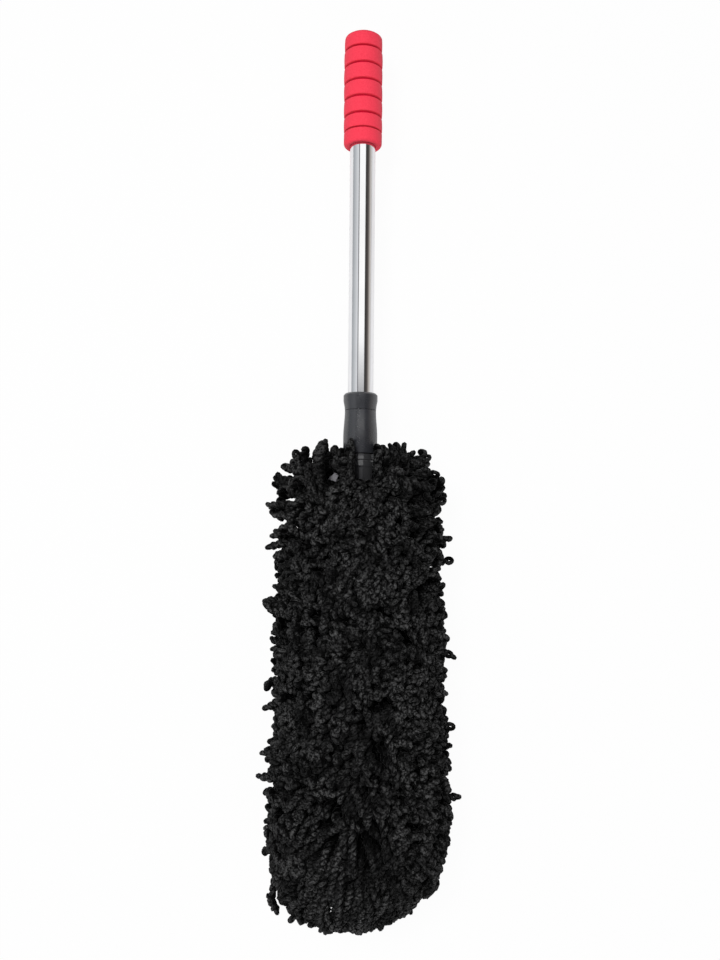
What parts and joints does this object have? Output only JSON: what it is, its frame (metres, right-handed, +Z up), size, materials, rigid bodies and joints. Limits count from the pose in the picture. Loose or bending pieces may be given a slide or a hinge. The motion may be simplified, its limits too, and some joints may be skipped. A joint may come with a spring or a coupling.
{
  "type": "car duster",
  "caption": "Telescoping duster: ringed foam grip on a chromed steel pole, twist lock collar, and a mop head of thick yarn strands in a sleeve that pulls off its frame.",
  "frame": {"origin": "on the surface that the duster lies on, under the middle of its length and width", "axes": "+Y along the pole towards the foam grip, +Z up from the surface, X across the head"},
  "size_m": [0.157, 0.777, 0.107],
  "materials": {
    "red_foam": "matte",
    "chrome": "polished",
    "matte_black": "matte",
    "gloss_black": "gloss",
    "natural_plastic": "satin",
    "steel": "satin",
    "black_yarn": "matte",
    "black_tape": "matte",
    "grey_satin": "satin"
  },
  "bodies": {
    "mop_head": {"sleeve_hem": "black_tape", "hem_elastic": "black_tape", "care_label": "grey_satin", "yarn_band_01": "black_yarn", "yarn_band_02": "black_yarn", "yarn_band_03": "black_yarn", "yarn_band_04": "black_yarn", "yarn_band_05": "black_yarn", "yarn_band_06": "black_yarn", "yarn_band_07": "black_yarn", "yarn_band_08": "black_yarn", "yarn_tip": "black_yarn"},
    "stem": {"head_frame": "gloss_black", "frame_pin": "steel", "inner_tube": "chrome", "guide_plug": "natural_plastic", "neck_ferrule": "gloss_black"},
    "handle": {"outer_tube": "chrome", "lock_base": "matte_black", "tube_end_plug": "natural_plastic", "foam_grip": "red_foam"},
    "collar": {"lock_collar": "matte_black"}
  },
  "joints": [
    {"name": "sleeve_pull", "type": "slide", "parent": "mop_head", "child": "stem", "axis": [0, 1, 0], "range_m": [0, 0.31]},
    {"name": "pole_slide", "type": "slide", "parent": "stem", "child": "handle", "axis": [0, 1, 0], "range_m": [0, 0.24]},
    {"name": "collar_twist", "type": "hinge", "parent": "handle", "child": "collar", "pos_m": [0, 0.0455, 0.054], "axis": [0, 1, 0], "range_deg": [0, 120]}
  ]
}
